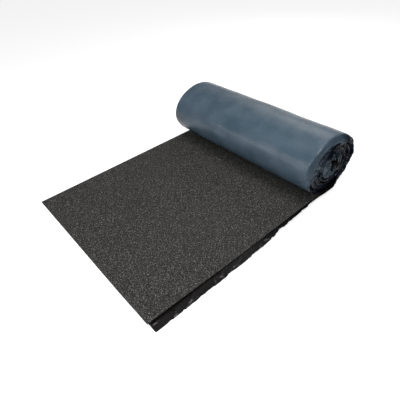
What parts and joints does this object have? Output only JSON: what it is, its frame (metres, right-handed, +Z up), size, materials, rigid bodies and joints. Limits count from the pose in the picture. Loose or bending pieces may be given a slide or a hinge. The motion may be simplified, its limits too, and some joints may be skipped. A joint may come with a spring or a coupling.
{
  "type": "roll of roofing felt",
  "caption": "Slumped roll of mineral-surfaced roofing felt with its release film, partly unrolled onto a flat tail with a bare film strip along one edge.",
  "frame": {"origin": "middle of the bounding box on the floor, under the sheet between the tail's free edge and the back of the roll", "axes": "+X along the roll towards the end where the film runs past the felt, +Y from the tail's free edge to the roll, +Z up from the floor"},
  "size_m": [1, 1.274, 0.283],
  "materials": {
    "mineral_felt": "rough slate granules on bitumen, matt",
    "release_film": "thin slate-blue film with a soft sheen, near black on its inner face"
  },
  "bodies": {
    "root": {"mineral_felt": "mineral_felt", "release_film": "release_film"}
  },
  "joints": []
}
